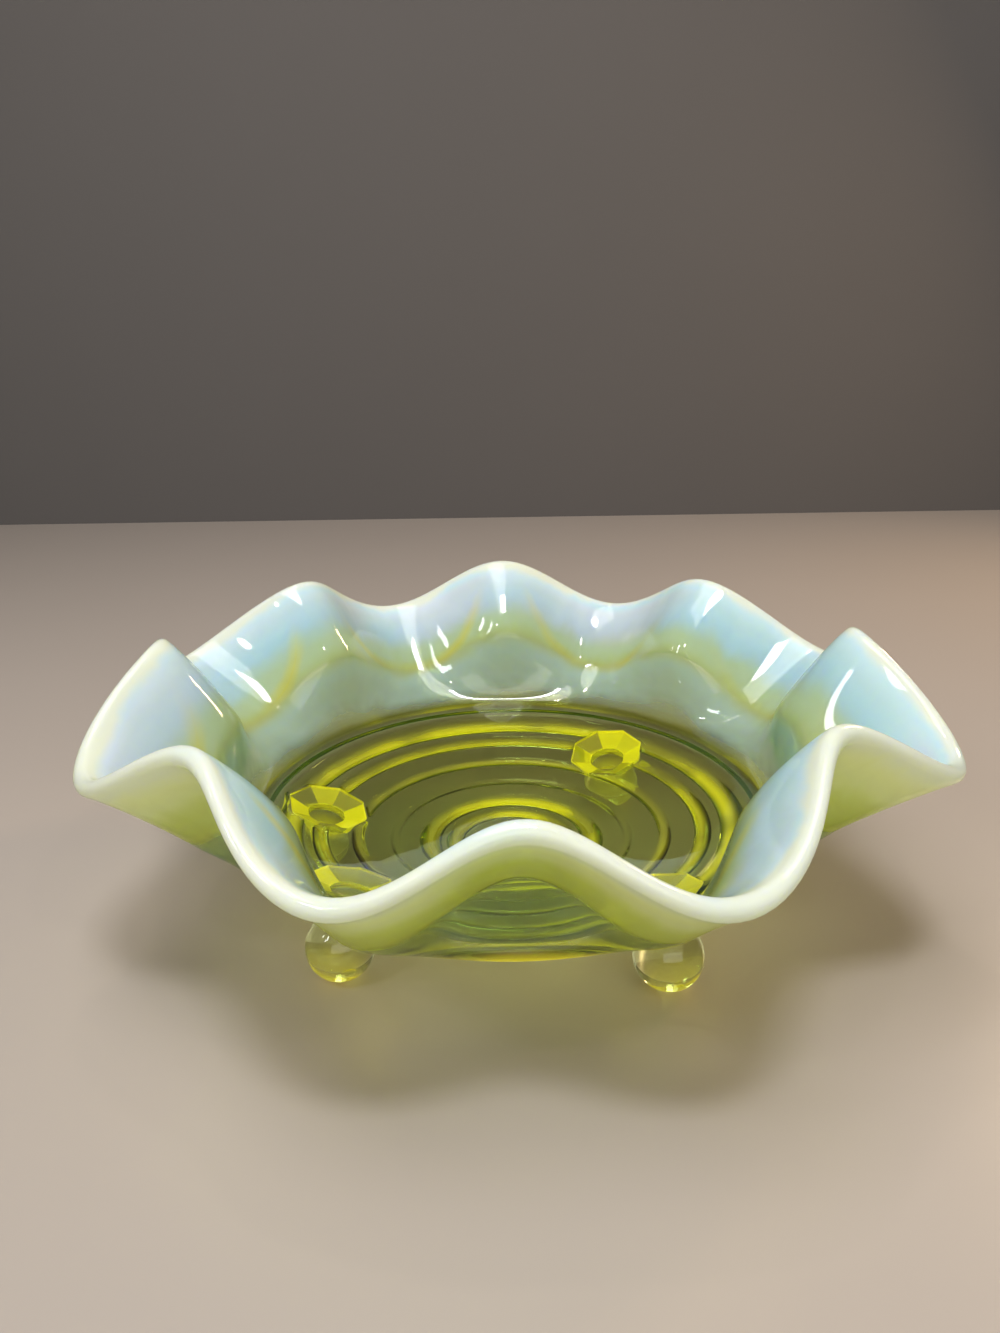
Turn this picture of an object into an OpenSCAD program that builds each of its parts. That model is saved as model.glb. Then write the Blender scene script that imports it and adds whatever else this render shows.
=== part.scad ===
// Ruffled opalescent glass bowl on four ball feet.
// One glass body: a clear dished floor with moulded rings, a ruffled wall and a milk-white lip,
// carried by four applied feet, each a faceted collar and a ball.
// +Z is up and the origin is on the table, at the bowl's axis.

/* [Rim and ruffles] */
// Mean radius of the rim's centre line
rim_radius = 105; // [100:0.5:108]
// Height of the rim's middle level above the table
rim_height = 68.5; // [66:0.5:71]
// Number of ruffles round the rim
ruffles = 8; // [6:2:8]
// Half the in-and-out swing of a ruffle at the rim
ruffle_flare = 7; // [5:0.5:8]
// Half the up-and-down swing of a ruffle at the rim
ruffle_rise = 9.3; // [7:0.1:10]
// Angle of the first crest round from +X
crest_turn = 0.7; // [-5:0.1:5]
// Thickness of the fire-polished lip
lip_thickness = 5; // [4.5:0.1:5.5]

/* [Hand finishing] */
// Half the difference between the rim's long and short radii
rim_oval = 2.7; // [0:0.1:3]
// Half the height difference between the rim's sides and its front and back
rim_saddle = 1; // [0:0.1:1.5]
// Three-lobed unevenness in the rim's height
rim_wave = 1.2; // [0:0.1:1.5]
// Share by which the side ruffles flare more than the front and back ones
flare_spread = 0.45; // [0:0.05:0.5]
// Share by which the side ruffles rise more than the front and back ones
rise_spread = 0.13; // [0:0.01:0.2]
// Direction of the rim's long axis round from +X
finish_turn = -12; // [-20:1:20]
// Direction of one high lobe of the three-lobed unevenness
wave_turn = -31; // [-40:1:-20]

/* [Wall] */
// Thickness of the glass in the floor and wall
glass = 5; // [4.5:0.1:5.5]
// Mean radius of the inner fold, where the wall turns out into the ruffles
fold_radius = 83; // [82:0.5:85]
// Mean height of the inner fold above the table
fold_height = 50; // [48:0.5:51]
// Half the in-and-out swing of the fold
fold_flare = 5; // [3:0.5:6]
// Half the up-and-down swing of the fold
fold_rise = 7; // [5:0.5:8]

/* [Floor] */
// Radius of the dished inside of the floor
dish_radius = 194; // [188:1:200]
// Height of the middle of the floor's inside above the table
floor_height = 19.2; // [18.5:0.1:20]
// Radius at which the floor ends and the wall begins
floor_edge = 72.5; // [71:0.5:73]
// Radius of the large ring moulded under the floor
base_ring = 57; // [56:0.5:58]
// Radius of the middle ring moulded under the floor
middle_ring = 46; // [44:0.5:48]
// Radius of the outer ring of the centre medallion
medallion = 24.5; // [24:0.5:26]

/* [Feet] */
// Diameter of a foot's ball
ball_diameter = 18.6; // [18:0.1:19]
// Radius of the circle on which the collars sit, at the underside of the floor
foot_circle = 57; // [55:0.5:58]
// Width of a faceted collar across its corners
collar_width = 25; // [23:0.5:26]
// Direction of the front right foot round from +X
front_right_turn = -49; // [-54:1:-46]
// Direction of the front left foot round from +X
front_left_turn = -139; // [-144:1:-134]
// Direction of the rear left foot round from +X
rear_left_turn = 172; // [160:1:175]
// Direction of the rear right foot round from +X
rear_right_turn = 54; // [48:1:60]

/* [Hidden] */
sides = 144;
step = 360 / sides;
// height of the dish's centre of curvature, which the feet's axes also pass through
dish_z = floor_height + dish_radius;
under_radius = dish_radius + glass;
edge_slope = asin(floor_edge / dish_radius);
// slopes of the wall at the fold and of the brim at the lip, as a mean and a swing
fold_slope = 60;
fold_slope_swing = 15;
lip_slope = 36;
lip_slope_swing = 6;
// second harmonic that sharpens the crests seen from above
crest_sharpness = 0.45;
// lengths of the curve handles at the floor, under and over the fold, and at the lip
floor_handle = 5;
under_fold_handle = 6;
over_fold_handle = 4;
lip_handle = 8;
wall_steps = 6;
brim_steps = 4;
lip_steps = 2;
cap_steps = 5;
// share of the brim at which the milk-white lip begins
lip_start = 0.8;
lip_bulge = 1;
// moulded rings from the knee inwards, each as its radius, the radius of its round section,
// and how deep the middle of that section lies in the glass
moulded_rings = [
    [floor_edge - 7.5, 2.9, 1.1],
    [base_ring, 2, 0],
    [middle_ring, 2.4, 1.6],
    [35, 2.2, 1.8],
    [medallion, 2.7, 0.5],
    [17, 2.4, 0.6],
    [10, 2.1, 0.7]
];
// groove round the knee, as its radius, the radius of its round section, and how far the middle
// of that section stands off the glass
knee_groove = floor_edge - 2.2;
knee_groove_round = 3;
knee_groove_off = 1.8;
// feet
ball_radius = ball_diameter / 2;
rest_flat = 0.15;
foot_tilt = asin(foot_circle / under_radius);
ball_reach = (dish_z - ball_radius + rest_flat) / cos(foot_tilt);
collar_facets = 8;
girdle = 1.6;
collar_embed = 3;
neck_radius = 5.6;
neck_overlap = 2.4;

glass_green = [0.72, 0.8, 0.12, 0.5];
wall_green = [0.72, 0.86, 0.6, 0.7];
opal_white = [0.95, 0.98, 0.95];

// +1 on a crest of the ruffles and -1 in a trough
function crest(a) = cos(ruffles * (a - crest_turn));

// +1 along the rim's long axis and -1 across it
function along(a) = cos(2 * (a - finish_turn));

// centre line of the rim as [radius, height]
function rim_point(a) = [
    rim_radius + rim_oval * along(a)
        - ruffle_flare * (1 + flare_spread * along(a)) * crest(a)
        - crest_sharpness * cos(2 * ruffles * (a - crest_turn)),
    rim_height + rim_saddle * along(a) + rim_wave * cos(3 * (a - wave_turn))
        + ruffle_rise * (1 + rise_spread * along(a)) * crest(a)
];

// inner fold as [radius, height]
function fold_point(a) = [
    fold_radius - fold_flare * crest(a),
    fold_height + fold_rise * crest(a)
];

function heading(slope) = [cos(slope), sin(slope)];

function outward(direction) = [direction[1], -direction[0]] / norm(direction);

function curve(p, t) =
    pow(1 - t, 3) * p[0] + 3 * pow(1 - t, 2) * t * p[1]
    + 3 * (1 - t) * t * t * p[2] + pow(t, 3) * p[3];

function curve_direction(p, t) =
    pow(1 - t, 2) * (p[1] - p[0]) + 2 * (1 - t) * t * (p[2] - p[1])
    + t * t * (p[3] - p[2]);

// the wall's inside from the floor's edge to the fold
function wall_curve(a) =
    let (
        low = [floor_edge, dish_z - dish_radius * cos(edge_slope)],
        fold = fold_point(a),
        fold_heading = heading(fold_slope + fold_slope_swing * crest(a))
    )
    [
        low,
        low + floor_handle * heading(edge_slope),
        fold - under_fold_handle * fold_heading,
        fold
    ];

// the brim's inside from the fold to the lip's edge
function brim_curve(a) =
    let (
        fold = fold_point(a),
        fold_heading = heading(fold_slope + fold_slope_swing * crest(a)),
        lip_heading = heading(lip_slope + lip_slope_swing * crest(a)),
        end = rim_point(a) - lip_thickness / 2 * outward(lip_heading)
    )
    [
        fold,
        fold + over_fold_handle * fold_heading,
        end - lip_handle * lip_heading,
        end
    ];

function offset_point(p, t, depth) = curve(p, t) + depth * outward(curve_direction(p, t));

// the wall's end is widened so that its flat facets clear the floor's round edge
function seat(p) = [p[0] / cos(step / 2), p[1]];

// thickness of the brim at t, growing to the lip's at its edge
function brim_depth(t) = glass + (lip_thickness - glass) * t;

// section of the wall: up its inside and down its outside
function wall_section(a) =
    let (w = wall_curve(a), b = brim_curve(a))
    concat(
        [seat(w[0])],
        [for (i = [1:wall_steps]) curve(w, i / wall_steps)],
        [for (i = [1:brim_steps]) curve(b, lip_start * i / brim_steps)],
        [for (i = [brim_steps:-1:1])
            offset_point(b, lip_start * i / brim_steps, brim_depth(lip_start * i / brim_steps))],
        [for (i = [wall_steps:-1:1]) offset_point(w, i / wall_steps, glass)],
        [seat(offset_point(w, 0, glass))]
    );

function lip_step(i) = lip_start + (1 - lip_start) * i / lip_steps;

// section of the lip: up its outside, over its round edge and down its inside
function lip_section(a) =
    let (
        b = brim_curve(a),
        forward = curve_direction(b, 1) / norm(curve_direction(b, 1)),
        out = outward(forward),
        middle = b[3] + lip_thickness / 2 * out
    )
    concat(
        [for (i = [0:lip_steps]) offset_point(b, lip_step(i), brim_depth(lip_step(i)))],
        [for (i = [1:cap_steps - 1])
            middle + lip_thickness / 2
                * (cos(180 * i / cap_steps) * out
                   + lip_bulge * sin(180 * i / cap_steps) * forward)],
        [for (i = [lip_steps:-1:0]) curve(b, lip_step(i))]
    );

function around(section, a) = [for (p = section) [p[0] * cos(a), p[0] * sin(a), p[1]]];

// a closed section carried once round the axis
module ring_of_sections(sections, inside_first) {
    count = len(sections[0]);
    points = [for (s = sections) each s];
    triangles = [
        for (i = [0:sides - 1], k = [0:count - 1])
            let (
                j = (i + 1) % sides,
                m = (k + 1) % count,
                a = i * count + k,
                b = j * count + k,
                c = j * count + m,
                d = i * count + m
            )
            each inside_first ? [[a, b, c], [a, c, d]] : [[a, c, b], [a, d, c]]
    ];
    polyhedron(points = points, faces = triangles);
}

// height of the floor's underside at a radius
function under_z(r) = dish_z - sqrt(under_radius * under_radius - r * r);

module ring_round(radius, round_radius, sunk) {
    translate([radius, under_z(radius) + sunk])
        circle(r = round_radius, $fn = 48);
}

module floor_shape() {
    rotate_extrude($fn = 144) {
        difference() {
            union() {
                intersection() {
                    translate([0, dish_z])
                        circle(r = under_radius, $fn = 144);
                    polygon([
                        [0, dish_z],
                        [0, 0],
                        [dish_z * tan(edge_slope), 0]
                    ]);
                }
                for (ring = moulded_rings)
                    ring_round(ring[0], ring[1], ring[2]);
            }
            ring_round(knee_groove, knee_groove_round, -knee_groove_off);
            translate([0, dish_z])
                circle(r = dish_radius, $fn = 144);
        }
    }
}

module bowl_floor() {
    color(glass_green)
        floor_shape();
}

module ruffled_wall() {
    color(wall_green)
        ring_of_sections([for (i = [0:sides - 1]) around(wall_section(i * step), i * step)], true);
}

module opal_lip() {
    color(opal_white)
        ring_of_sections([for (i = [0:sides - 1]) around(lip_section(i * step), i * step)], false);
}

// places what points down its own -Z on a foot's axis, measured from the dish's centre
module on_foot_axis(turn) {
    translate([0, 0, dish_z])
        rotate([0, 0, turn])
            rotate([0, -foot_tilt, 0])
                children();
}

module ball_shape(turn) {
    on_foot_axis(turn)
        translate([0, 0, -ball_reach])
            sphere(r = ball_radius, $fn = 96);
}

module collar(turn) {
    color(glass_green)
        difference() {
            on_foot_axis(turn)
                union() {
                    translate([0, 0, -under_radius - girdle])
                        cylinder(
                            h = girdle + collar_embed,
                            d = collar_width,
                            $fn = collar_facets
                        );
                    translate([0, 0, -ball_reach + ball_radius - neck_overlap])
                        cylinder(
                            h = ball_reach - ball_radius + neck_overlap - under_radius - girdle,
                            r1 = neck_radius,
                            r2 = collar_width / 2,
                            $fn = collar_facets
                        );
                }
            floor_shape();
            translate([0, 0, dish_z])
                sphere(r = under_radius, $fn = 144);
            ball_shape(turn);
        }
}

module ball(turn) {
    color(glass_green)
        difference() {
            ball_shape(turn);
            translate([0, 0, -ball_diameter])
                linear_extrude(ball_diameter)
                    square(4 * rim_radius, center = true);
        }
}

module collar_front_right() { collar(front_right_turn); }
module ball_front_right() { ball(front_right_turn); }
module collar_front_left() { collar(front_left_turn); }
module ball_front_left() { ball(front_left_turn); }
module collar_rear_left() { collar(rear_left_turn); }
module ball_rear_left() { ball(rear_left_turn); }
module collar_rear_right() { collar(rear_right_turn); }
module ball_rear_right() { ball(rear_right_turn); }

bowl_floor();
ruffled_wall();
opal_lip();
collar_front_right();
ball_front_right();
collar_front_left();
ball_front_left();
collar_rear_left();
ball_rear_left();
collar_rear_right();
ball_rear_right();
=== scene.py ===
"""Looks of a ruffled opalescent bowl of yellow-green glass on four ball feet.

The bowl is one smooth mesh, swept from the same sections as the CAD's floor, wall and lip,
because a seam inside clear glass would show. Each foot is one mesh for its collar and its ball.
The bowl's and feet's lengths are in millimetres until a mesh is made. The rest is in metres.
"""

import math

import bpy
import numpy as np
from mathutils import Matrix, Vector


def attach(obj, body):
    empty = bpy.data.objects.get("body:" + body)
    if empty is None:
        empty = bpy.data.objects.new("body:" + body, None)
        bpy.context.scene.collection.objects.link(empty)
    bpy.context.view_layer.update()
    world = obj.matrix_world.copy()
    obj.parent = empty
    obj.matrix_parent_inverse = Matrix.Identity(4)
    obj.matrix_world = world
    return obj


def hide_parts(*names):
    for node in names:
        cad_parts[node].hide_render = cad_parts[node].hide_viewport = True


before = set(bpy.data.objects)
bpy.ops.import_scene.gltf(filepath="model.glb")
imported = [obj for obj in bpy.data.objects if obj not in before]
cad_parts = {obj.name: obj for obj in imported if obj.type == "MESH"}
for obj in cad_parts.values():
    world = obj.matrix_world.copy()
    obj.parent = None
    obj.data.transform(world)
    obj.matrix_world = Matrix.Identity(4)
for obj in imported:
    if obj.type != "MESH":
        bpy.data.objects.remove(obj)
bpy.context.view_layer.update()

MM = 0.001

# ---------------------------------------------------------------- shape, as in the CAD source

RIM_RADIUS = 105
RIM_HEIGHT = 68.5
RUFFLES = 8
RUFFLE_FLARE = 7
RUFFLE_RISE = 9.3
CREST_TURN = math.radians(0.7)
CREST_SHARPNESS = 0.45
LIP_THICKNESS = 5
RIM_OVAL = 2.7
RIM_SADDLE = 1
RIM_WAVE = 1.2
FLARE_SPREAD = 0.45
RISE_SPREAD = 0.13
FINISH_TURN = math.radians(-12)
WAVE_TURN = math.radians(-31)

GLASS = 5
FOLD_RADIUS = 83
FOLD_HEIGHT = 50
FOLD_FLARE = 5
FOLD_RISE = 7
FOLD_SLOPE = math.radians(60)
FOLD_SLOPE_SWING = math.radians(15)
LIP_SLOPE = math.radians(36)
LIP_SLOPE_SWING = math.radians(6)
FLOOR_HANDLE = 5
UNDER_FOLD_HANDLE = 6
OVER_FOLD_HANDLE = 4
LIP_HANDLE = 8

DISH_RADIUS = 194
FLOOR_HEIGHT = 19.2
FLOOR_EDGE = 72.5
DISH_Z = FLOOR_HEIGHT + DISH_RADIUS
UNDER_RADIUS = DISH_RADIUS + GLASS
EDGE_SLOPE = math.asin(FLOOR_EDGE / DISH_RADIUS)
# each ring's radius, how far it stands out, half its width, and how strong a painted glow it has
MOULDED_RINGS = {
    "groove": (70.3, -1.2, 3.0, 0),
    "edge": (65, 1.8, 3.4, 0.9),
    "base": (57, 2.0, 2.4, 0.6),
    "middle": (46, 0.8, 2.2, 0.4),
    "fine": (35, 0.4, 1.8, 0.05),
    "medallion": (24.5, 2.2, 3.4, 1.0),
    "inner": (17, 1.8, 2.8, 1.0),
    "centre": (10, 1.4, 2.4, 0.9),
}

BALL_RADIUS = 9.3
REST_FLAT = 0.15
FOOT_CIRCLE = 57
FOOT_TILT = math.asin(FOOT_CIRCLE / UNDER_RADIUS)
BALL_REACH = (DISH_Z - BALL_RADIUS + REST_FLAT) / math.cos(FOOT_TILT)
COLLAR_RADIUS = 12.5
COLLAR_FACETS = 8
GIRDLE = 1.6
NECK_RADIUS = 5.6
NECK_OVERLAP = 2.4
FEET = {
    "front_right": -49,
    "front_left": -139,
    "rear_left": 172,
    "rear_right": 54,
}

# how finely the bowl's section is cut, and how many sections go round it
FLOOR_STEPS = 44
WALL_STEPS = 22
BRIM_STEPS = 26
CAP_STEPS = 14
UNDER_STEPS = 170
ROUND_STEPS = 288
# the CAD's wall has fewer sections, so this finer one is drawn in to stay inside its box
SNUG = 0.9991
# the mark reach at the fold, between the wall and the brim
FOLD_REACH = 0.45
# the knee's marks, painted shade on the inside and painted glow on the outside, fade over this many
# millimetres of floor, and this fast up the wall
KNEE_FADE = 8
KNEE_FALL = 3
# the strongest painted glow on the outside of the knee
KNEE_GLOW = 0.8
# the low wall is struck milky all round, but least of all at the front
CLEAREST = math.radians(-90)
CLEARING = 0.92
# the moulded rings fade out over this distance from a collar, and distances are capped at FAR
RING_FADE = 0.6
FAR = 3.0
# a foot's top is this far below the bowl's underside, and its section is cut finely down to
# this far below the top of the ball, which takes in the end of the neck
FOOT_GAP = 0.03
FINE_BAND = 3.4

# ---------------------------------------------------------------- sections of the bowl


def crest(a):
    """+1 on a crest of the ruffles and -1 in a trough."""
    return np.cos(RUFFLES * (a - CREST_TURN))


def along(a):
    """+1 along the rim's long axis and -1 across it."""
    return np.cos(2 * (a - FINISH_TURN))


def rim_point(a):
    """Centre line of the rim at angle a, as (radius, height)."""
    radius = (
        RIM_RADIUS
        + RIM_OVAL * along(a)
        - RUFFLE_FLARE * (1 + FLARE_SPREAD * along(a)) * crest(a)
        - CREST_SHARPNESS * np.cos(2 * RUFFLES * (a - CREST_TURN))
    )
    height = (
        RIM_HEIGHT
        + RIM_SADDLE * along(a)
        + RIM_WAVE * np.cos(3 * (a - WAVE_TURN))
        + RUFFLE_RISE * (1 + RISE_SPREAD * along(a)) * crest(a)
    )
    return np.array([radius, height])


def fold_point(a):
    """The inner fold, where the wall turns out into the ruffles."""
    return np.array(
        [FOLD_RADIUS - FOLD_FLARE * crest(a), FOLD_HEIGHT + FOLD_RISE * crest(a)]
    )


def heading(slope):
    return np.array([math.cos(slope), math.sin(slope)])


def outward(direction):
    """Unit normal of a section's curve, towards the bowl's outside."""
    return np.array([direction[1], -direction[0]]) / np.hypot(*direction)


def curve(p, t):
    u = 1 - t
    return u**3 * p[0] + 3 * u**2 * t * p[1] + 3 * u * t**2 * p[2] + t**3 * p[3]


def curve_direction(p, t):
    u = 1 - t
    return u**2 * (p[1] - p[0]) + 2 * u * t * (p[2] - p[1]) + t**2 * (p[3] - p[2])


def wall_and_brim(a):
    """The inside of the wall and of the brim at angle a, as two curves' control points."""
    low = np.array([FLOOR_EDGE, DISH_Z - DISH_RADIUS * math.cos(EDGE_SLOPE)])
    fold = fold_point(a)
    fold_heading = heading(FOLD_SLOPE + FOLD_SLOPE_SWING * crest(a))
    lip_heading = heading(LIP_SLOPE + LIP_SLOPE_SWING * crest(a))
    end = rim_point(a) - LIP_THICKNESS / 2 * outward(lip_heading)
    wall = [
        low,
        low + FLOOR_HANDLE * heading(EDGE_SLOPE),
        fold - UNDER_FOLD_HANDLE * fold_heading,
        fold,
    ]
    brim = [
        fold,
        fold + OVER_FOLD_HANDLE * fold_heading,
        end - LIP_HANDLE * lip_heading,
        end,
    ]
    return wall, brim


def collar_corner(turn):
    """Radius of the collar's eight-sided outline at an angle round the foot's own axis."""
    half = math.pi / COLLAR_FACETS
    return COLLAR_RADIUS * math.cos(half) / math.cos(turn % (2 * half) - half)


def away_from_feet(x, y):
    """How far a place under the floor is from the nearest collar's outline: negative within it."""
    nearest = FAR
    for turn_deg in FEET.values():
        turn = math.radians(turn_deg)
        dx, dy = x - FOOT_CIRCLE * math.cos(turn), y - FOOT_CIRCLE * math.sin(turn)
        corner = collar_corner(math.atan2(dy, dx) - turn)
        nearest = min(nearest, math.hypot(dx, dy) - corner)
    return max(-FAR, nearest)


def ring_relief(radius, open_here):
    """How far the moulded rings stand out of the underside at a radius, and how strong a painted glow
    they have.

    Both are scaled by open_here, which is 0 under a collar.
    """
    relief, share = 0.0, 0.0
    for ring_radius, height, half_width, ring_glow in MOULDED_RINGS.values():
        away = abs(radius - ring_radius) / half_width
        if away < 1:
            relief += height * (1 - away**2) ** 1.5
            share = max(share, ring_glow * (1 - away**2) ** 2.5)
    return relief * open_here, share * open_here


def brim_reach(t):
    """The mark reach at t along the brim."""
    return FOLD_REACH + (1 - FOLD_REACH) * t


def section(a):
    """The bowl's section at angle a, from the middle of the inside to the middle of the underside.

    Each point is (radius, height, reach, inside, ring, fused). Reach grows from 0 at the floor's
    edge to 1 at the lip. Inside falls from 1 on the inside to 0 on the outside. Ring is how
    strong a painted glow the outside has, at the moulded rings and the knee, and on the inside it
    is how near the knee is, which sets painted shade there. Fused is above 0 where the floor's
    underside runs on into a collar.
    """
    wall, brim = wall_and_brim(a)
    points = []
    for i in range(1, FLOOR_STEPS + 1):
        r = FLOOR_EDGE * i / FLOOR_STEPS
        z = DISH_Z - math.sqrt(DISH_RADIUS**2 - r**2)
        # on the inside the knee mark sets painted shade, strongest at the floor's edge
        knee_shade = max(0.0, 1 - (FLOOR_EDGE - r) / KNEE_FADE)
        points.append((r, z, 0, 1, knee_shade, -FAR))
    for i in range(1, WALL_STEPS + 1):
        t = i / WALL_STEPS
        # the painted shade of the knee fades up the wall
        knee_shade = max(0.0, 1 - KNEE_FALL * t)
        points.append((*curve(wall, t), FOLD_REACH * t, 1, knee_shade, -FAR))
    for i in range(1, BRIM_STEPS + 1):
        t = i / BRIM_STEPS
        points.append((*curve(brim, t), brim_reach(t), 1, 0, -FAR))
    forward = curve_direction(brim, 1)
    forward = forward / np.hypot(*forward)
    out = outward(forward)
    middle = brim[3] + LIP_THICKNESS / 2 * out
    for i in range(1, CAP_STEPS):
        turn = math.pi * i / CAP_STEPS
        p = middle + LIP_THICKNESS / 2 * (
            -math.cos(turn) * out + math.sin(turn) * forward
        )
        points.append((*p, 1, 1 - i / CAP_STEPS, 0, -FAR))
    for i in range(BRIM_STEPS, 0, -1):
        t = i / BRIM_STEPS
        p = curve(brim, t) + GLASS * outward(curve_direction(brim, t))
        points.append((*p, brim_reach(t), 0, 0, -FAR))
    for i in range(WALL_STEPS, 0, -1):
        t = i / WALL_STEPS
        p = curve(wall, t) + GLASS * outward(curve_direction(wall, t))
        # painted glow on the outside of the knee, fading up the wall
        glowing = max(0.0, KNEE_GLOW - KNEE_FALL * t)
        points.append((*p, FOLD_REACH * t, 0, glowing, -FAR))
    edge = UNDER_RADIUS * math.sin(EDGE_SLOPE)
    for i in range(UNDER_STEPS, 0, -1):
        r = edge * i / UNDER_STEPS
        away = away_from_feet(r * math.cos(a), r * math.sin(a))
        relief, share = ring_relief(r, min(1.0, max(0.0, away / RING_FADE)))
        z = DISH_Z - math.sqrt(UNDER_RADIUS**2 - r**2) - relief
        points.append((r, z, 0, 0, share, -away))
    return points


def bowl_mesh():
    """One closed mesh for the floor, wall and lip, with the section's marks stored on its points."""
    table = []
    for i in range(ROUND_STEPS):
        a = 2 * math.pi * i / ROUND_STEPS
        up = 0.5 + 0.5 * crest(a)
        struck = 1 - CLEARING * max(0.0, math.cos(a - CLEAREST)) ** 2
        for r, z, *marks in section(a):
            table.append((r * math.cos(a), r * math.sin(a), z, *marks, up, struck))
    count = len(table) // ROUND_STEPS
    top = len(table)
    table.append((0, 0, FLOOR_HEIGHT, 0, 1, 0, -FAR, 0, 1))
    table.append((0, 0, FLOOR_HEIGHT - GLASS, 0, 0, 0, -FAR, 0, 1))
    table = np.array(table)
    faces = []
    for i in range(ROUND_STEPS):
        j = (i + 1) % ROUND_STEPS
        faces.append((top, i * count, j * count))
        for k in range(count - 1):
            faces.append(
                (i * count + k, i * count + k + 1, j * count + k + 1, j * count + k)
            )
        faces.append((top + 1, (j + 1) * count - 1, (i + 1) * count - 1))
    mesh = bpy.data.meshes.new("bowl_glass")
    mesh.from_pydata((table[:, :3] * MM * SNUG).tolist(), [], faces)
    names = ("reach", "inside", "ring", "fused", "crest", "struck")
    for column, name in enumerate(names, 3):
        attribute = mesh.attributes.new(name, "FLOAT", "POINT")
        attribute.data.foreach_set("value", table[:, column].astype(np.float32))
    mesh.polygons.foreach_set("use_smooth", [True] * len(mesh.polygons))
    mesh.update()
    return mesh


# ---------------------------------------------------------------- feet


def collar_radius(turn, down):
    """Radius of the eight-sided collar at an angle round the foot's axis and a distance down it."""
    below = down - UNDER_RADIUS
    neck_end = BALL_REACH - BALL_RADIUS + NECK_OVERLAP - UNDER_RADIUS
    if below > neck_end:
        return 0.0
    share = max(0.0, (below - GIRDLE) / (neck_end - GIRDLE))
    corner = COLLAR_RADIUS + (NECK_RADIUS - COLLAR_RADIUS) * share
    return corner / COLLAR_RADIUS * collar_corner(turn)


def ball_section(down):
    return math.sqrt(max(0.0, BALL_RADIUS**2 - (down - BALL_REACH) ** 2))


def foot_mesh(name, turn_deg):
    """A collar and a ball as one closed mesh, just clear of the bowl's underside.

    Two marks on its points say how much painted glow the glass has there: collar, which is highest on
    the collar's facets, fades out down the ball and rises again at its bottom near the table, and
    facet, a random painted shade that differs from one facet to the next.
    The mark fused is above 0 on its top, where it is one glass with the bowl.
    """
    around = 16 * COLLAR_FACETS
    ball_top = BALL_REACH - BALL_RADIUS
    fine_end = ball_top + FINE_BAND
    levels = [UNDER_RADIUS + GIRDLE * 0.5, UNDER_RADIUS + GIRDLE]
    levels += list(np.linspace(UNDER_RADIUS + GIRDLE, fine_end, 40)[1:])
    start = math.acos((fine_end - BALL_REACH) / BALL_RADIUS)
    for turn in np.linspace(start, 0, 60)[1:-1]:
        levels.append(BALL_REACH + BALL_RADIUS * math.cos(turn))
    tilt = np.array(
        Matrix.Rotation(math.radians(turn_deg), 3, "Z") @ Matrix.Rotation(-FOOT_TILT, 3, "Y")
    )

    def placed(x, y, down):
        p = tilt @ np.array([x, y, -down])
        return (p[0], p[1], max(0.0, p[2] + DISH_Z))

    turns = [2 * math.pi * i / around for i in range(around)]
    # each facet gets a random share of the painted glow, a painted shade that differs from facet to
    # facet
    order = np.random.default_rng(abs(turn_deg)).permutation(COLLAR_FACETS)
    facets = [order[i * COLLAR_FACETS // around] / (COLLAR_FACETS - 1) for i in range(around)]
    points = [placed(0, 0, UNDER_RADIUS + FOOT_GAP)]
    for share in (0.25, 0.5, 0.75, 1):
        for turn in turns:
            r = share * collar_radius(turn, UNDER_RADIUS)
            down = math.sqrt((UNDER_RADIUS + FOOT_GAP) ** 2 - r**2)
            points.append(placed(r * math.cos(turn), r * math.sin(turn), down))
    marks = [1.0] * len(points)
    shades = [0.5] + facets * 4
    fused = [1.0] * len(points)
    for down in levels:
        ball = ball_section(down)
        for turn, facet in zip(turns, facets):
            collar = collar_radius(turn, down)
            shades.append(facet if collar > ball else 0.6)
            r = max(collar, ball)
            points.append(placed(r * math.cos(turn), r * math.sin(turn), down))
            # painted glow on the ball: strong next to the collar and again at the ball's bottom, near
            # the table
            up = (BALL_REACH - down) / BALL_RADIUS
            near_collar, near_table = (up - 0.6) * 4, (-up - 0.4) * 1.3
            on_ball = min(1.0, max(0.0, near_collar, near_table))
            marks.append(1.0 if collar > ball else on_ball)
    points.append(placed(0, 0, BALL_REACH + BALL_RADIUS))
    marks.append(marks[-1])
    shades.append(shades[-1])
    rows = (len(points) - 2) // around
    faces = []
    for i in range(around):
        j = (i + 1) % around
        faces.append((0, 1 + i, 1 + j))
        for k in range(rows - 1):
            a, b = 1 + k * around, 1 + (k + 1) * around
            faces.append((a + i, b + i, b + j, a + j))
        last = 1 + (rows - 1) * around
        faces.append((last + i, len(points) - 1, last + j))
    mesh = bpy.data.meshes.new(name)
    mesh.from_pydata((np.array(points) * MM).tolist(), [], faces)
    fused += [-20 * FAR] * (len(points) - len(fused))
    for mark_name, values in (("collar", marks), ("facet", shades), ("fused", fused)):
        attribute = mesh.attributes.new(mark_name, "FLOAT", "POINT")
        attribute.data.foreach_set("value", values)
    mesh.polygons.foreach_set("use_smooth", [True] * len(mesh.polygons))
    mesh.update()
    mesh.set_sharp_from_angle(angle=math.radians(24))
    return mesh


# ---------------------------------------------------------------- materials


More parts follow.
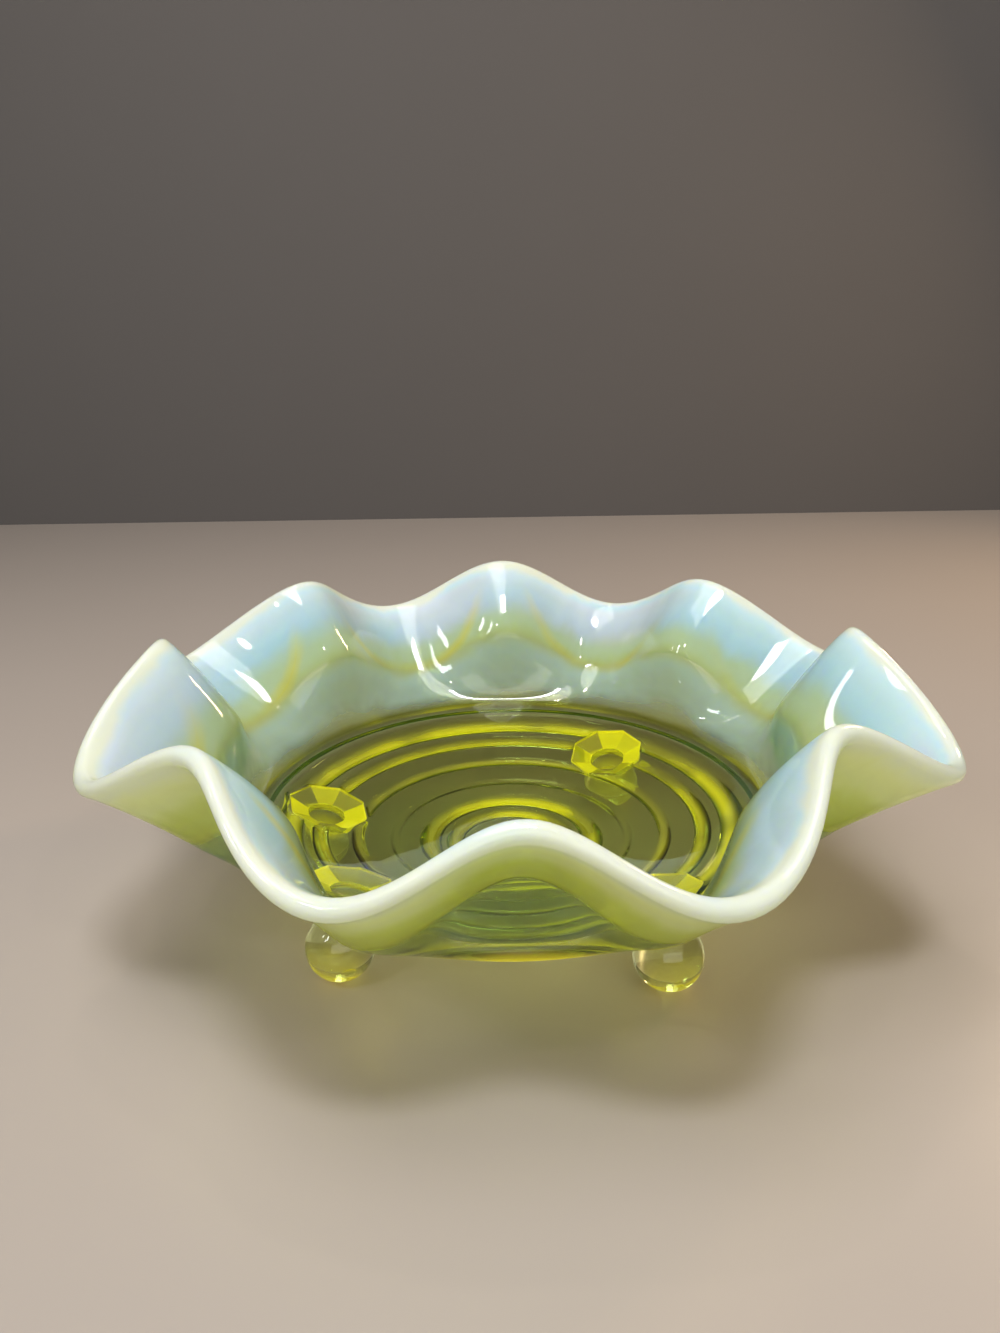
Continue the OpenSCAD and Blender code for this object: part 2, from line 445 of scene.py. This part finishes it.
class Tree:
    """A material's node tree, with short calls that make and link nodes."""

    def __init__(self, name):
        self.material = bpy.data.materials.new(name)
        self.material.use_nodes = True
        self.nodes = self.material.node_tree.nodes
        self.links = self.material.node_tree.links
        self.nodes.clear()
        self.out = self.nodes.new("ShaderNodeOutputMaterial")

    def put(self, kind, inputs=None, **settings):
        node = self.nodes.new(kind)
        for key, value in settings.items():
            setattr(node, key, value)
        for key, value in (inputs or {}).items():
            if isinstance(value, bpy.types.NodeSocket):
                self.links.new(value, node.inputs[key])
            else:
                node.inputs[key].default_value = value
        return node

    def maths(self, operation, a, b=0.0, c=0.0):
        node = self.put("ShaderNodeMath", {0: a, 1: b, 2: c}, operation=operation)
        return node.outputs[0]

    def blend(self, share, a, b):
        """A colour, from a at share 0 to b at share 1."""
        node = self.put("ShaderNodeMix", data_type="RGBA")
        for socket, value in ((0, share), (6, a), (7, b)):
            if isinstance(value, bpy.types.NodeSocket):
                self.links.new(value, node.inputs[socket])
            else:
                node.inputs[socket].default_value = value
        return node.outputs[2]

    def ramp(self, value, stops):
        """A value mapped through (position, level or colour) stops."""
        node = self.put("ShaderNodeValToRGB", {0: value})
        band = node.color_ramp
        while len(band.elements) < len(stops):
            band.elements.new(0.5)
        for element, (position, level) in zip(band.elements, stops):
            element.position = position
            element.color = (*level, 1) if isinstance(level, tuple) else (level,) * 3 + (1,)
        band.interpolation = "EASE"
        return node.outputs[0]

    def mix(self, share, a, b):
        return self.put("ShaderNodeMixShader", {0: share, 1: a, 2: b}).outputs[0]


IOR = 1.5
# what each surface takes out of the light, and what the glass does in its depth
BOWL_TINT = (0.70, 0.81, 0.60, 1)
FOOT_TINT = (0.98, 1.0, 0.95, 1)
# painted shade: a dark tint on the clear glass inside the knee, where refraction shows a dark band
KNEE_PAINTED_SHADE = (0.12, 0.16, 0.10, 1)
DEPTH_COLOUR = (0.68, 0.75, 0.02, 1)
BOWL_DENSITY = 110
FOOT_DENSITY = 26
# the painted glow given to thick glass, and the tints of the shadows
YELLOW_GLOW = (0.95, 0.80, 0.01, 1)
CLEAR_SHADE = (0.16, 0.11, 0.03, 1)
MILKY_SHADE = (0.25, 0.22, 0.11, 1)
# the milk's colour by reach, and how much of it there is, on the inside and on the outside
INSIDE_MILK = [
    (0.00, (0.40, 0.60, 0.58)),
    (0.12, (0.52, 0.84, 0.94)),
    (0.32, (0.62, 0.92, 0.98)),
    (0.48, (0.66, 0.78, 0.44)),
    (0.62, (0.60, 0.75, 0.58)),
    (0.76, (0.50, 0.73, 0.96)),
    (0.92, (0.62, 0.80, 0.98)),
    (1.00, (0.82, 0.85, 0.76)),
]
# the outside's colour is partly the glass's own yellow-green and partly painted backlight, the warm
# colour of light that has come through the opal
OUTSIDE_MILK_AND_PAINTED_BACKLIGHT = [
    (0.00, (0.46, 0.52, 0.02)),
    (0.45, (0.62, 0.68, 0.06)),
    (0.66, (0.70, 0.76, 0.15)),
    (0.84, (0.84, 0.88, 0.46)),
    (1.00, (0.80, 0.85, 0.72)),
]
INSIDE_SHARE = [
    (0.0, 0.0), (0.06, 0.06), (0.22, 0.30), (0.42, 0.42), (0.62, 0.62), (0.84, 0.86), (0.96, 1.0)
]
OUTSIDE_SHARE = [
    (0.0, 0.0), (0.30, 0.03), (0.42, 0.14), (0.55, 0.62), (0.80, 0.84), (0.94, 1.0)
]
WHITE = (1, 1, 1, 1)
LAVENDER = (0.80, 0.72, 0.95, 1)
# the yellow of the painted streaks down the crests' flanks and round the fold
PAINTED_STREAK_YELLOW = (0.86, 0.78, 0.14, 1)


def clear_shader(tree, tint, scale):
    """Clear glass with faint unevenness in its surface: its shader, the place on it and its normal."""
    where = tree.put("ShaderNodeTexCoord").outputs["Object"]
    waves = tree.put("ShaderNodeTexNoise", {"Vector": where, "Scale": scale, "Detail": 2})
    bump = tree.put(
        "ShaderNodeBump",
        {"Height": waves.outputs["Fac"], "Strength": 0.05, "Distance": 0.001},
    )
    glass = tree.put(
        "ShaderNodeBsdfPrincipled",
        {
            "Base Color": tint,
            "Roughness": 0.0,
            "IOR": IOR,
            "Transmission Weight": 1.0,
            "Normal": bump.outputs["Normal"],
        },
    )
    return glass.outputs[0], where, bump.outputs["Normal"]


def lets_shadows_through(tree, shader, tint):
    """Shader, except that shadow rays pass straight through with a tint."""
    path = tree.put("ShaderNodeLightPath")
    through = tree.put("ShaderNodeBsdfTransparent", {"Color": tint})
    return tree.mix(path.outputs["Is Shadow Ray"], shader, through.outputs[0])


def runs_on(tree, shader):
    """Shader, except that light goes straight on where the bowl and a foot are one glass."""
    fused = tree.maths("GREATER_THAN", mark(tree, "fused"), 0.0)
    straight = tree.put("ShaderNodeBsdfTransparent", {"Color": WHITE})
    return tree.mix(fused, shader, straight.outputs[0])


def depth_colour(tree, density):
    """The glass takes blue out of what is seen through its thickness, so thick glass is yellow."""
    volume = tree.put(
        "ShaderNodeVolumeAbsorption", {"Color": DEPTH_COLOUR, "Density": density}
    )
    tree.links.new(volume.outputs[0], tree.out.inputs["Volume"])


def mark(tree, name):
    return tree.put("ShaderNodeAttribute", attribute_name=name).outputs["Fac"]


def glow(tree, normal):
    """Painted glow: a yellow colour with emission of its own where uranium glass is thick, standing in
    for the light it catches from every side.
    """
    return tree.put(
        "ShaderNodeBsdfPrincipled",
        {
            "Base Color": YELLOW_GLOW,
            "Roughness": 0.3,
            "Normal": normal,
            "Emission Color": YELLOW_GLOW,
            "Emission Strength": 0.8,
        },
    ).outputs[0]


def painted_streaks(tree, reach, crest_mark, where):
    """Painted light: a wavering yellow line down a crest's flank and round the fold, standing in for
    the deeper yellow seen through the glass at a slant and the warm highlights that gather at the
    fold.
    """
    drift = tree.put(
        "ShaderNodeTexNoise", {"Vector": where, "Scale": 40, "Detail": 2}
    ).outputs["Fac"]
    wander = tree.maths("MULTIPLY", tree.maths("SUBTRACT", drift, 0.5), 0.16)
    line = tree.maths("MULTIPLY_ADD", tree.maths("POWER", crest_mark, 2.0), 0.42, 0.47)
    away = tree.maths("ADD", tree.maths("SUBTRACT", reach, line), wander)
    strength = tree.ramp(tree.maths("ABSOLUTE", away), [(0.0, 1.0), (0.02, 0.75), (0.09, 0.0)])
    fade = tree.ramp(crest_mark, [(0.0, 0.4), (0.35, 1.0), (0.75, 0.8), (0.93, 0.0)])
    clouds = tree.put("ShaderNodeTexNoise", {"Vector": where, "Scale": 22, "Detail": 1})
    patchy = tree.ramp(clouds.outputs["Fac"], [(0.36, 0.15), (0.62, 1.0)])
    return tree.maths("MULTIPLY", tree.maths("MULTIPLY", strength, fade), patchy)


def bowl_material():
    tree = Tree("opalescent_glass")
    reach, inside = mark(tree, "reach"), mark(tree, "inside")
    ring, crest_mark = mark(tree, "ring"), mark(tree, "crest")
    # the knee mark sets painted shade: a dark tint on the clear glass inside the knee
    knee_shade = tree.maths("MULTIPLY", ring, inside)
    tint = tree.blend(knee_shade, BOWL_TINT, KNEE_PAINTED_SHADE)
    clear, where, normal = clear_shader(tree, tint, 60)
    drift = tree.put(
        "ShaderNodeTexNoise", {"Vector": where, "Scale": 24, "Detail": 3, "Distortion": 1.5}
    ).outputs["Fac"]
    uneven = tree.maths("MULTIPLY_ADD", tree.maths("SUBTRACT", drift, 0.5), 0.22, reach)
    struck = tree.blend(tree.ramp(reach, [(0.45, 0.0), (0.75, 1.0)]), mark(tree, "struck"), WHITE)
    inside_share = tree.maths("MULTIPLY", tree.ramp(uneven, INSIDE_SHARE), struck)
    milk = tree.blend(inside, tree.ramp(uneven, OUTSIDE_SHARE), inside_share)
    off_floor = tree.ramp(reach, [(0.0, 0.0), (0.03, 1.0)])
    milk = tree.maths("MULTIPLY", milk, off_floor)
    # painted light: yellow streaks down the crests' flanks and round the fold
    painted_streak = tree.maths("MULTIPLY", painted_streaks(tree, reach, crest_mark, where), 0.8)
    inner = tree.blend(painted_streak, tree.ramp(uneven, INSIDE_MILK), PAINTED_STREAK_YELLOW)
    blush = tree.put("ShaderNodeTexNoise", {"Vector": where, "Scale": 16, "Detail": 1})
    blush = tree.ramp(blush.outputs["Fac"], [(0.45, 0.0), (0.7, 0.45)])
    high = tree.ramp(reach, [(0.6, 0.0), (0.74, 1.0), (0.9, 1.0), (0.97, 0.0)])
    inner = tree.blend(tree.maths("MULTIPLY", blush, high), inner, LAVENDER)
    # the outside takes a colour that is partly painted backlight
    colour = tree.blend(inside, tree.ramp(uneven, OUTSIDE_MILK_AND_PAINTED_BACKLIGHT), inner)
    opal = tree.put(
        "ShaderNodeBsdfPrincipled",
        {
            "Base Color": colour,
            "Roughness": 0.03,
            "IOR": IOR,
            "Subsurface Weight": 1.0,
            "Subsurface Radius": (1.0, 1.0, 0.7),
            "Subsurface Scale": 0.005,
            "Normal": normal,
        },
    )
    lit_through = tree.put("ShaderNodeBsdfTranslucent", {"Color": colour, "Normal": normal})
    opal_body = tree.mix(0.3, opal.outputs[0], lit_through.outputs[0])
    patches = tree.put("ShaderNodeTexNoise", {"Vector": where, "Scale": 30, "Detail": 2})
    strength = tree.ramp(patches.outputs["Fac"], [(0.38, 0.25), (0.62, 0.75)])
    # painted glow, in patches, at the moulded rings and on the knee's outside
    ring_share = tree.maths("MULTIPLY", tree.maths("SUBTRACT", ring, knee_shade), strength)
    glass = tree.mix(ring_share, clear, glow(tree, normal))
    body = runs_on(tree, tree.mix(milk, glass, opal_body))
    shade = tree.blend(milk, CLEAR_SHADE, MILKY_SHADE)
    tree.links.new(lets_shadows_through(tree, body, shade), tree.out.inputs["Surface"])
    depth_colour(tree, BOWL_DENSITY)
    return tree.material


def foot_material():
    tree = Tree("clear_foot_glass")
    clear, _, normal = clear_shader(tree, FOOT_TINT, 90)
    # painted glow on the collar's facets, its strength a random painted shade for each facet
    facets = tree.ramp(mark(tree, "facet"), [(0.0, 0.1), (1.0, 0.85)])
    share = tree.maths("MULTIPLY", mark(tree, "collar"), facets)
    body = runs_on(tree, tree.mix(share, clear, glow(tree, normal)))
    tree.links.new(lets_shadows_through(tree, body, CLEAR_SHADE), tree.out.inputs["Surface"])
    depth_colour(tree, FOOT_DENSITY)
    return tree.material


# ---------------------------------------------------------------- stage, light and camera


def add_object(name, mesh, material):
    piece = bpy.data.objects.new(name, mesh)
    bpy.context.scene.collection.objects.link(piece)
    mesh.materials.append(material)
    return piece


def plain_material(name, colour, roughness):
    tree = Tree(name)
    where = tree.put("ShaderNodeTexCoord").outputs["Object"]
    grain = tree.put("ShaderNodeTexNoise", {"Vector": where, "Scale": 9, "Detail": 4})
    light = tuple(min(1.0, c * 1.05) for c in colour[:3]) + (1,)
    tone = tree.blend(grain.outputs["Fac"], colour, light)
    surface = tree.put(
        "ShaderNodeBsdfPrincipled", {"Base Color": tone, "Roughness": roughness}
    )
    tree.links.new(surface.outputs[0], tree.out.inputs["Surface"])
    return tree.material


def panel(name, corners, material):
    mesh = bpy.data.meshes.new(name)
    mesh.from_pydata(corners, [], [(0, 1, 2, 3)])
    return add_object(name, mesh, material)


def add_stage():
    far, wide, near = 0.58, 3.0, -2.5
    floor = panel(
        "table_top",
        [(-wide, near, 0), (wide, near, 0), (wide, far, 0), (-wide, far, 0)],
        plain_material("pale_table", (0.38, 0.325, 0.285, 1), 0.3),
    )
    wall = panel(
        "back_wall",
        [(-wide, far, 0), (wide, far, 0), (wide, far, 3), (-wide, far, 3)],
        plain_material("grey_wall", (0.10, 0.09, 0.085, 1), 0.9),
    )


def add_light(name, place, target, size, watts, colour):
    data = bpy.data.lights.new(name, "AREA")
    data.shape = "RECTANGLE"
    data.size, data.size_y = size
    data.energy = watts
    data.color = colour
    lamp = bpy.data.objects.new(name, data)
    lamp.location = place
    lamp.rotation_euler = (Vector(target) - Vector(place)).to_track_quat("-Z", "Y").to_euler()
    bpy.context.scene.collection.objects.link(lamp)


def add_lights():
    world = bpy.data.worlds.new("studio")
    world.use_nodes = True
    background = world.node_tree.nodes["Background"]
    background.inputs["Color"].default_value = (0.80, 0.84, 0.90, 1)
    background.inputs["Strength"].default_value = 0.12
    bpy.context.scene.world = world
    add_light("key", (0.02, -0.32, 0.9), (0, 0, 0.04), (0.20, 0.12), 4.0, (0.93, 0.97, 1))
    add_light("overhead", (-0.15, -0.1, 1.0), (0, 0, 0), (0.6, 0.45), 5, (1, 0.97, 0.93))
    add_light("front", (0.12, -0.9, 0.42), (0, 0, 0.02), (1.1, 0.5), 3.5, (1, 0.97, 0.92))
    add_light("lamp", (0.5, 0.35, 0.35), (0, 0, 0.05), (0.06, 0.16), 1.4, (1, 0.72, 0.42))
    add_light("window", (-0.6, -0.45, 0.7), (0, 0, 0.05), (0.08, 0.3), 1.5, (0.9, 0.96, 1))
    add_light("bulb_left", (-0.28, -0.42, 0.7), (0, 0, 0.05), (0.03, 0.03), 0.35, (1, 0.95, 0.85))
    add_light("bulb_right", (0.34, -0.5, 0.75), (0, 0, 0.05), (0.03, 0.03), 0.35, (1, 0.95, 0.85))
    add_light("bulb_back", (-0.08, 0.2, 0.8), (0, 0, 0.05), (0.03, 0.03), 0.3, (1, 0.9, 0.75))
    add_light("side", (-0.7, -0.2, 0.6), (0, 0, 0.05), (0.05, 0.14), 0.5, (0.95, 0.98, 1))


def add_camera():
    pitch, roll = math.radians(19.71), math.radians(-0.86)
    data = bpy.data.cameras.new("camera")
    data.sensor_width = 36
    data.lens = 27
    data.clip_start = 0.01
    camera = bpy.data.objects.new("camera", data)
    turn = Matrix.Rotation(math.pi / 2 - pitch, 4, "X") @ Matrix.Rotation(roll, 4, "Z")
    camera.matrix_world = Matrix.Translation((-0.0026, -0.2651, 0.1678)) @ turn
    bpy.context.scene.collection.objects.link(camera)
    bpy.context.scene.camera = camera


# ---------------------------------------------------------------- the scene

# the default view transform can't show as strong a yellow as the glass has
bpy.context.scene.view_settings.view_transform = "Standard"
add_camera()
add_stage()
add_lights()

bowl = add_object("bowl_glass", bowl_mesh(), bowl_material())
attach(bowl, "root")
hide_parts("bowl_floor", "ruffled_wall", "opal_lip")

foot_glass = foot_material()
for foot_name, foot_turn in FEET.items():
    foot = add_object(
        "foot_" + foot_name, foot_mesh("foot_" + foot_name, foot_turn), foot_glass
    )
    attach(foot, "root")
    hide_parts("collar_" + foot_name, "ball_" + foot_name)
